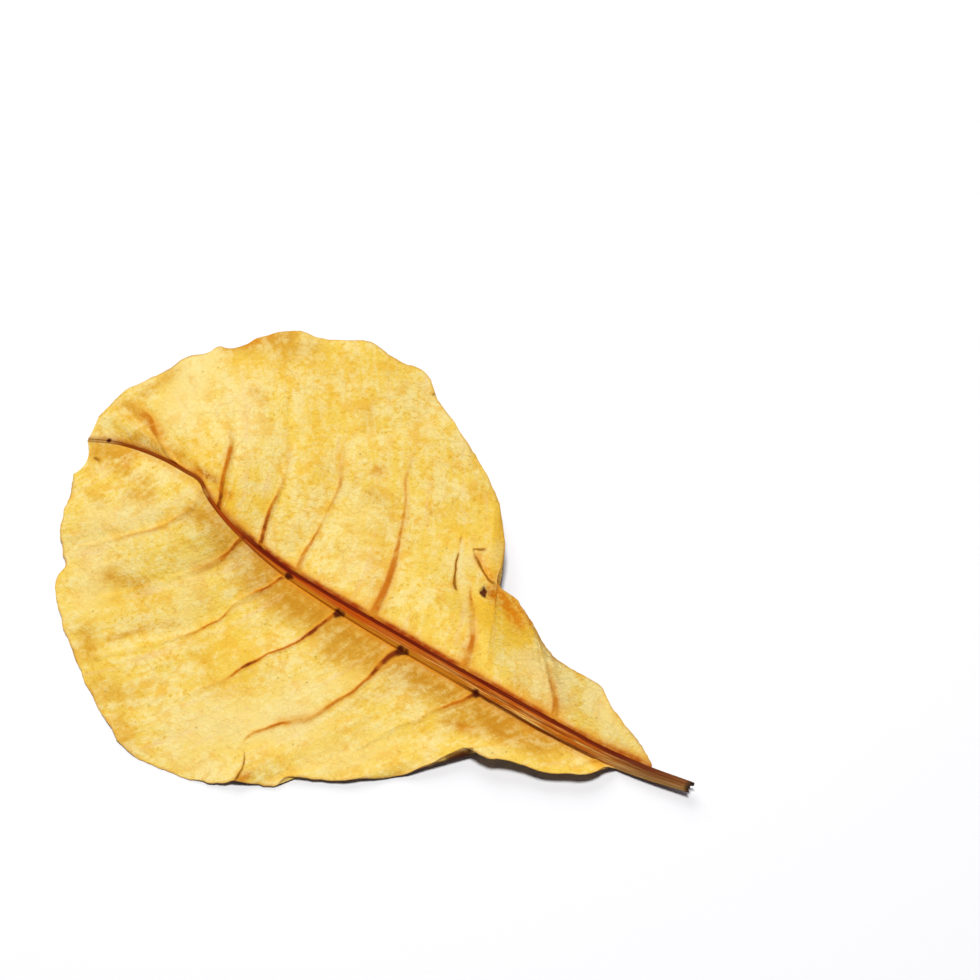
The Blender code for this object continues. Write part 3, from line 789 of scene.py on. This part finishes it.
layers = {}
for kind, rows in STAINS.items():
    layer = np.zeros(surface.shape[:2])
    for start, end, width, strength in rows:
        side, _ = distance_to(surface, np.array([start, end], float))
        layer = np.maximum(layer, strength * np.exp(-(side / width) ** 2))
    layers["stain_" + kind] = layer
layers["blot_and_shade"] = np.zeros(surface.shape[:2])
for middle, radius, strength in BLOTS_AND_PIT_SHADE + LIP_SHADE_BLOTS:
    gap = np.linalg.norm(surface[:, :, :2] - np.array(middle), axis=2)
    layers["blot_and_shade"] = np.maximum(layers["blot_and_shade"], strength * np.clip(BLOT_REACH - gap / radius, 0, 1))
print("Layers:", sorted(layers))

# %% What the paint needs to know about each point
across = np.zeros(surface.shape[:2])
across[:, RIB] = steps * half_width[:, None]
across[:, FAR_ROWS] = -half_width[:, None] - foot_gap[:, FAR_ROWS]
across[:, NEAR_ROWS] = half_width[:, None] + foot_gap[:, NEAR_ROWS]
row_count = surface.shape[1]
measures = {
    "along_midrib": np.repeat(at[:, None], row_count, axis=1), "across_midrib": across,
    "midrib_edge": np.repeat(half_width[:, None], row_count, axis=1), "rim_gap": rim_gap,
    "stroke_side": stroke_side, "stroke_ink": stroke_ink, "stroke_width": stroke_width,
    "crease": crease, **layers,
}
for name, values in measures.items():
    both = np.tile(values.reshape(-1)[used], 2).astype(np.float32)
    mesh.attributes.new(name, "FLOAT", "POINT").data.foreach_set("value", both)
upward = np.repeat([1.0, 0.0], count).astype(np.float32)
mesh.attributes.new("upper_face", "FLOAT", "POINT").data.foreach_set("value", upward)
print("Measures kept on the mesh:", sorted(measures) + ["upper_face"])

# %% [markdown]
# ## Paint, one layer at a time
#
# The finish is one material, built as a painter would: a ground colour, then layers laid over
# it, each as strong as its masks let it be. The small helpers each add one node, so that a
# layer is a line or two to read. Colours are written as they look on a screen, and turned
# into the linear values that Blender's shaders take.

# %% The paint box
LAMP_GAIN = 1.08  # how much brighter than its paint a level surface looks under the lamps

dry_leaf = bpy.data.materials.new("Dry leaf")
dry_leaf.use_nodes = True
tree = dry_leaf.node_tree
shader = tree.nodes["Principled BSDF"]
mesh.materials.append(dry_leaf)


def seen(red, green, blue):
    """The paint that looks like this on a screen, 0 to 255, under the lamps."""
    channels = [channel / 255 for channel in (red, green, blue)]
    linear = [c / 12.92 if c < 0.04045 else ((c + 0.055) / 1.055) ** 2.4 for c in channels]
    return [value / LAMP_GAIN for value in linear] + [1]


def put(socket, value):
    """Joins another node's output to the socket, or sets it to a plain value."""
    if isinstance(value, bpy.types.NodeSocket):
        tree.links.new(value, socket)
    else:
        socket.default_value = value


def add(kind, inputs, **settings):
    """A new node."""
    node = tree.nodes.new(kind)
    for key, value in settings.items():
        setattr(node, key, value)
    for key, value in inputs.items():
        put(node.inputs[key], value)
    return node


# %% Where a point of the finish is
def measure(name):
    """What the mesh keeps under that name."""
    return add("ShaderNodeAttribute", {}, attribute_name=name).outputs["Fac"]


def reckon(operation, first, second=0.0):
    """One step of arithmetic."""
    return add("ShaderNodeMath", {0: first, 1: second}, operation=operation).outputs[0]


metres = add("ShaderNodeTexCoord", {}).outputs["Object"]
here = add("ShaderNodeVectorMath", {0: metres, "Scale": 1 / MM}, operation="SCALE").outputs[0]
along_midrib = measure("along_midrib")
across_midrib = measure("across_midrib")
midrib_edge = measure("midrib_edge")
beyond_edge = reckon("SUBTRACT", reckon("ABSOLUTE", across_midrib), midrib_edge)
print("Nodes so far:", len(tree.nodes))

# %% [markdown]
# ### Masks
#
# A mask is a number for each point of the leaf: 0 where a paint doesn't show, 1 where it
# covers in full. Most masks here are a fade: between two values of a measure, such as a
# distance in mm, the paint goes smoothly from one strength to another. Masks are multiplied,
# so paint shows only where all of them let it through, and a few go a little past 1 to win
# against the others.

# %% Helpers for masks and layers
def product(first, *others):
    """All the values multiplied."""
    for other in others:
        first = reckon("MULTIPLY", first, other)
    return first


def weighted(first, *others):
    """Sum of patterns, each given with its weight."""
    total = product(*first)
    for other in others:
        total = reckon("ADD", total, product(*other))
    return total


def fade(value, start, end, low=1.0, high=0.0):
    """Low where the value is at start, high where it is at end, smooth between them."""
    inputs = {"Value": value, 1: start, 2: end, 3: low, 4: high}
    return add("ShaderNodeMapRange", inputs, interpolation_type="SMOOTHSTEP").outputs[0]


def cloud(where, size, detail=3.0, roughness=0.55):
    """Noise with humps of that size."""
    inputs = {"Vector": where, "Scale": 1 / size, "Detail": detail, "Roughness": roughness}
    return add("ShaderNodeTexNoise", inputs).outputs["Fac"]


def point(x, y):
    """A place in a pattern."""
    return add("ShaderNodeCombineXYZ", {0: x, 1: y}).outputs[0]


def lay(under, paint, *masks):
    """The paint over what is under it, as far as the masks let it through."""
    inputs = {0: product(*masks), 6: under, 7: paint}
    return add("ShaderNodeMix", inputs, data_type="RGBA").outputs[2]


# %% [markdown]
# ### The ground: cream and yellow
#
# No two square millimetres are the same yellow. Cream lies over yellow in clouds, in mottles
# of a few millimetres, and in streaks drawn out the way the side veins run. Orange-yellow,
# pinkish and ochre flecks lie over that.

# %% Ground
YELLOW = seen(250, 212, 90)
CREAM = seen(253, 229, 147)
WARM = seen(246, 192, 64)
PINK = seen(247, 206, 142)
OCHRE = seen(222, 162, 44)
CLOUD_SIZE = 24
MOTTLE_SIZE = 4.5
GRAIN_SIZE = 1.3
STREAK_SIZE = 2.4
STREAK_SQUEEZE = 0.13  # of the pattern across the midrib, which draws the streaks out that way
WARM_SIZE = 5.5
PINK_SIZE = 3.6

clouds = cloud(here, CLOUD_SIZE, 3)
mottles = cloud(here, MOTTLE_SIZE, 5, 0.6)
grains = cloud(here, GRAIN_SIZE, 4, 0.65)
fan = point(along_midrib, product(across_midrib, STREAK_SQUEEZE))
streaks = cloud(fan, STREAK_SIZE, 4, 0.6)
mixed = weighted((mottles, 0.4), (streaks, 0.3), (grains, 0.3))
paleness = weighted((mixed, 0.75), (clouds, 0.25))
ground = lay(YELLOW, CREAM, fade(paleness, 0.45, 0.57, 0, 1))
ground = lay(ground, WARM, fade(cloud(here, WARM_SIZE, 5, 0.62), 0.5, 0.64, 0, 0.75))
ground = lay(ground, PINK, fade(cloud(fan, PINK_SIZE, 4, 0.6), 0.55, 0.7, 0, 0.5))
ground = lay(ground, OCHRE, fade(grains, 0.46, 0.33, 0, 0.62), fade(mottles, 0.56, 0.42, 0.15, 1))
print("Nodes with the ground:", len(tree.nodes))

# %% [markdown]
# ### Stains
#
# The stains break up against the same noise as the ground, so an ochre patch has pale grains
# in it and fades into flecks at its edge.

# %% Stains
STAIN_PAINTS = {  # paint and strength
    "cream": (seen(253, 234, 166), 0.8), "gold": (seen(246, 196, 54), 0.85),
    "ochre": (seen(218, 154, 36), 0.9), "orange": (seen(226, 132, 6), 0.95),
    "brown": (seen(188, 106, 4), 0.95),
}
broken = fade(mixed, 0.62, 0.4, 0.35, 1.3)
for kind, (paint, strength) in STAIN_PAINTS.items():
    amount = reckon("MINIMUM", product(measure("stain_" + kind), broken), 1.0)
    ground = lay(ground, paint, amount, strength)
print("Nodes with the stains:", len(tree.nodes))

# %% [markdown]
# ### The net of small veins
#
# The net is a cell pattern: the lines between its cells are a little darker, and they also
# stand up in the bump that comes last. A second net, about four times finer, fills the first
# one's cells. On this leaf both are faint.

# %% Net
NET_TINT = seen(222, 172, 78)
COARSE_NET = (6.5, 0.7, 1.2)  # size of a cell, width of a line, and the wobble, in cells
FINE_NET = (1.7, 0.3, 1.0)
NET_PATCH_SIZE = 12


def net(size, line, wobble):
    """Lines between cells: 1 on a line, 0 inside a cell."""
    offset = add("ShaderNodeTexNoise", {"Vector": here, "Scale": 1 / size}).outputs["Color"]
    moved = add("ShaderNodeVectorMath", {0: offset, "Scale": wobble * size}, operation="SCALE")
    where = add("ShaderNodeVectorMath", {0: here, 1: moved.outputs[0]}, operation="ADD")
    flat = add("ShaderNodeVectorMath", {0: where.outputs[0], 1: (1, 1, 0)}, operation="MULTIPLY")
    cells = add("ShaderNodeTexVoronoi", {"Vector": flat.outputs[0], "Scale": 1 / size},
                feature="DISTANCE_TO_EDGE", voronoi_dimensions="2D")
    return fade(cells.outputs["Distance"], 0, line / size, 1, 0)


coarse_net = net(*COARSE_NET)
fine_net = net(*FINE_NET)
net_strength = fade(cloud(here, NET_PATCH_SIZE), 0.4, 0.65, 0.02, 0.2)
ground = lay(ground, NET_TINT, coarse_net, net_strength)
ground = lay(ground, NET_TINT, fine_net, net_strength, 0.7)
print("Nodes with the nets:", len(tree.nodes))

# %% [markdown]
# ### Specks
#
# Small grey-green specks are scattered over the leaf. Each is the middle of a cell of a random
# pattern, and only the few cells with a high random value have one.

# %% Specks
SPECK = seen(160, 132, 60)
SPECK_SPACING = 2.6

speckled = add("ShaderNodeTexVoronoi", {"Vector": here, "Scale": 1 / SPECK_SPACING}).outputs
chosen = add("ShaderNodeSeparateColor", {0: speckled["Color"]}).outputs[0]
ground = lay(ground, SPECK, fade(speckled["Distance"], 0.04, 0.2), fade(chosen, 0.8, 0.92, 0, 0.5))
print("Nodes with the specks:", len(tree.nodes))

# %% [markdown]
# ### Sap and shade beside the midrib
#
# Beside the midrib the blade is stained, as if sap had spread into it. On the near half there
# is also a broad golden-brown band, part stain and part painted shade beside the midrib. On
# both halves an orange glow lies close to the midrib, with a narrower red-brown one within
# it, and both glows are much stronger on the far half. The side veins run over them all.

# %% Sap
NEAR_BAND_STAIN_AND_SHADE = seen(208, 143, 32)
GLOW = seen(238, 162, 46)
RED_GLOW = seen(166, 62, 6)
UNEVEN_SIZE = 3.2

uneven = fade(cloud(here, UNEVEN_SIZE, 3), 0.3, 0.7, 0.7, 1.15)
on_near = fade(across_midrib, -0.5, 0.5, 0, 1)
# Near half: a golden-brown band, part stain and part painted shade beside the midrib.
near_band_stain_and_shade = product(fade(beyond_edge, 3.5, 15.5), fade(mixed, 0.6, 0.42, 0.5, 1.12), on_near)
colour = lay(ground, NEAR_BAND_STAIN_AND_SHADE, near_band_stain_and_shade, fade(along_midrib, 28, 42, 0, 1), fade(along_midrib, 126, 172), 0.9)
colour = lay(colour, GLOW, fade(beyond_edge, 0.2, 4.2, 0.95, 0), uneven,
             fade(along_midrib, 200, 212, 1, 0.2), fade(across_midrib, -1, 1, 1, 0.4))
colour = lay(colour, RED_GLOW, fade(beyond_edge, 0.5, 2.2), uneven, fade(across_midrib, -1, 1, 1, 0.2),
             fade(along_midrib, 40, 100, 0.75, 1.05), fade(along_midrib, 148, 156, 1, 0.4))
print("Nodes with the sap:", len(tree.nodes))

# %% [markdown]
# ### Side veins and creases
#
# A stroke is a core with a glow beside it. Where the stroke is faint the core is tan, then
# orange-brown, and dark red where it is darkest, beside the midrib. The gap from its middle
# is pushed about a little by noise, so that the edge isn't drawn with a ruler.

# %% Side veins and creases
TAN = seen(224, 158, 50)
ORANGE_BROWN = seen(206, 114, 10)
DARK_RED = seen(130, 38, 2)
CREASE_BROWN_AND_SHADE = seen(156, 98, 10)
VEIN_GLOW = seen(234, 162, 44)
WANDER_SIZE = 2.2
WANDER = 0.7

wander = product(reckon("SUBTRACT", cloud(here, WANDER_SIZE, 3), 0.5), WANDER)
stroke_gap = reckon("ABSOLUTE", reckon("ADD", measure("stroke_side"), wander))
in_widths = reckon("DIVIDE", stroke_gap, measure("stroke_width"))
darkness = product(measure("stroke_ink"), uneven)
colour = lay(colour, VEIN_GLOW, fade(in_widths, 0.6, 3.3), darkness, 0.85)
core = lay(TAN, ORANGE_BROWN, fade(darkness, 0.25, 0.6, 0, 1))
core = lay(core, DARK_RED, fade(darkness, 0.6, 1.0, 0, 1))
# Crease lines: partly their own brown, partly painted shade in the folds.
core = lay(core, CREASE_BROWN_AND_SHADE, measure("crease"))
colour = lay(colour, core, fade(in_widths, 0.35, 1.35), fade(darkness, 0.02, 0.5, 0, 0.95))
print("Nodes with the side veins and creases:", len(tree.nodes))

# %% [markdown]
# ### Midrib and stalk
#
# The midrib is orange-brown with paler fibres along it, and redder where it thins. Near the
# tip it is a thin brown line. Towards the stalk it turns a dull brown, with a pale near edge.

# %% Midrib
RIB_TAN = seen(210, 126, 32)
RIB_ORANGE = seen(190, 86, 8)
RIB_RED = seen(198, 78, 4)
RIB_TIP = seen(160, 72, 2)
RIB_LIGHT = seen(250, 196, 104)
STALK_BROWN = seen(130, 76, 34)
STALK_LIGHT = seen(204, 150, 88)
FIBRE_ALONG = 0.07  # the pattern is drawn out into fibres
FIBRE_ACROSS = 2.2
KINK_AT = 167.8     # along the midrib, where the blade bulges half over it

fibre_point = point(product(along_midrib, FIBRE_ALONG), product(across_midrib, FIBRE_ACROSS))
fibres = cloud(fibre_point, 1, 4, 0.6)
to_edge = reckon("DIVIDE", across_midrib, midrib_edge)
rib = lay(RIB_ORANGE, RIB_TAN, fade(to_edge, -0.2, 0.5, 0, 0.85))
rib = lay(rib, RIB_ORANGE, fade(fibres, 0.52, 0.42, 0, 0.6))
rib = lay(rib, RIB_RED, fade(along_midrib, 78, 118, 0, 0.9))
rib = lay(rib, RIB_TIP, fade(along_midrib, 160, 169, 0, 1))
rib = lay(rib, RIB_LIGHT, fade(fibres, 0.5, 0.62, 0, 0.9), fade(to_edge, -0.3, 0.5, 0.2, 1),
          fade(along_midrib, 44, 120, 1.3, 0.1))
stalk_pale = reckon("ADD", fade(fibres, 0.46, 0.66, 0, 0.5), fade(to_edge, 0.4, 0.9, 0, 0.6))
stalk = lay(STALK_BROWN, STALK_LIGHT, stalk_pale)
rib = lay(rib, stalk, fade(along_midrib, 12, 38))

from_kink = reckon("ABSOLUTE", reckon("SUBTRACT", along_midrib, KINK_AT))
rib_strength = product(fade(along_midrib, 202, 213), fade(from_kink, 0.5, 2.2, 0.3, 1))
on_rib = product(fade(beyond_edge, -0.12, 0.15), reckon("MAXIMUM", rib_strength, 0.25))
colour = lay(colour, rib, on_rib)
print("Nodes with the midrib:", len(tree.nodes))

# %% [markdown]
# ### Lines along the midrib
#
# Half way along, a soft golden line follows the near edge. It is partly the midrib's own colour
# and partly painted light, lighter than the midrib there so that the steep near flank loses its
# shade. Nearer the stalk a fine dark line lies just beside the middle, and a brown one along
# the near edge. The strongest is the dark red line along the far edge.

# %% Lines along the midrib
RIB_SOFT_AND_LIGHT = seen(232, 150, 30)
RIB_LINE = seen(98, 10, 3)
RIB_EDGE = seen(112, 52, 10)


def rib_line(middle, inner, outer):
    """A line at a share of the midrib's half width from its middle."""
    gap = reckon("SUBTRACT", across_midrib, product(midrib_edge, middle))
    gap = reckon("ABSOLUTE", reckon("ADD", gap, product(wander, 0.4)))
    return fade(gap, inner, outer)


# Painted light in part: the golden line on the near flank is lighter than its colour, against the flank's
# shade.
colour = lay(colour, RIB_SOFT_AND_LIGHT, rib_line(0.95, 0.2, 1.3),
             fade(along_midrib, 62, 76, 0, 0.8), fade(along_midrib, 130, 150))
colour = lay(colour, RIB_LINE, rib_line(0.22, 0.04, 0.45),
             fade(along_midrib, 24, 40, 0, 0.6), fade(along_midrib, 62, 96))
colour = lay(colour, RIB_EDGE, rib_line(0.88, 0.08, 0.42),
             fade(along_midrib, 22, 32, 0, 0.9), fade(along_midrib, 62, 76, 1, 0.15))
far_edge = fade(along_midrib, 10, 30, -0.35, -0.62)
colour = lay(colour, RIB_LINE, rib_line(far_edge, 0.6, 1.2), fade(along_midrib, 0, 22, 0.35, 1),
             fade(fibres, 0.3, 0.6, 1, 0.85), fade(along_midrib, 144, 158, 1, 0.3))
print("Nodes with the lines:", len(tree.nodes))

# %% [markdown]
# ### Blots, the rim and the stalk's end
#
# The corners where side veins join the midrib are nearly black, and the same near-black is
# painted shade in the pit and along the steep lip of the near margin. The margin dried tan,
# and brown in places, and the stalk's end is dark.

# %% Blots, rim and stalk's end
BLOT_AND_SHADE = seen(84, 20, 6)
RIM_TAN = seen(216, 156, 70)
RIM_BROWN = seen(140, 84, 46)
END_BROWN = seen(86, 58, 34)
TOAST_SIZE = 9

# Near-black: the blots' own colour at the vein corners, painted shade in the pit and on the lip.
blot_and_shade_here = reckon("ADD", measure("blot_and_shade"), product(wander, 1.2))
colour = lay(colour, BLOT_AND_SHADE, fade(blot_and_shade_here, 0.15, 0.9, 0, 0.97))
from_rim = measure("rim_gap")
toasted = cloud(here, TOAST_SIZE, 3)
rim_share = reckon("DIVIDE", from_rim, fade(toasted, 0.35, 0.65, 0.3, 1.1))
colour = lay(colour, RIM_TAN, fade(rim_share, 0.15, 1.0, 0.55, 0))
colour = lay(colour, RIM_BROWN, fade(from_rim, 0.1, 0.45), fade(toasted, 0.54, 0.64, 0, 0.4))
colour = lay(colour, END_BROWN, fade(along_midrib, 0.3, 2.0))
print("Nodes with blots, rim and end:", len(tree.nodes))

# %% [markdown]
# ### The hidden face
#
# The face that lies on the paper is the leaf's upper side. It dried darker and redder, and its
# veins are only faint lines, so a red-brown tint is laid over all of it. The tint is nearly
# black and reaches up the lower part of the margin's wall, so it is partly painted shade: the
# dark of the gap under the lifted margin.

# %% Hidden face
UNDER_TINT_AND_SHADE = seen(92, 44, 30)

hidden = fade(measure("upper_face"), 0.02, 0.3)
# Partly the hidden face's own colour, partly painted shade in the gap under the lifted margin.
under = lay(colour, UNDER_TINT_AND_SHADE, fade(mixed, 0.35, 0.65, 0.7, 0.92))
put(shader.inputs["Base Color"], lay(colour, under, hidden))
print("Nodes with the hidden face:", len(tree.nodes))

# %% [markdown]
# ### Sheen and grain
#
# Dry leaf is dull. The bump holds what is too fine for the mesh: the streaks along the side
# veins, the two nets, the paper grain and the fibres of the midrib.

# %% Roughness and bump
GLOSS = 0.06
BUMP_HEIGHT = 0.3
BUMP_STRENGTH = 0.8

put(shader.inputs["Roughness"], fade(mottles, 0.3, 0.7, 0.66, 0.8))
shader.inputs["Specular IOR Level"].default_value = GLOSS

relief = weighted((coarse_net, 0.12), (fine_net, 0.2), (grains, 1.2), (streaks, 1.0))
off_rib = reckon("SUBTRACT", 1.0, on_rib)
relief = weighted((relief, off_rib), (fibres, on_rib, 1.8))
inputs = {"Height": relief, "Distance": BUMP_HEIGHT * MM, "Strength": BUMP_STRENGTH}
put(shader.inputs["Normal"], add("ShaderNodeBump", inputs).outputs[0])
print("Nodes in the whole finish:", len(tree.nodes))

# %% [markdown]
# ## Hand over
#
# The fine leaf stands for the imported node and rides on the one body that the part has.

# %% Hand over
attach(leaf, "root")
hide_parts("leaf")
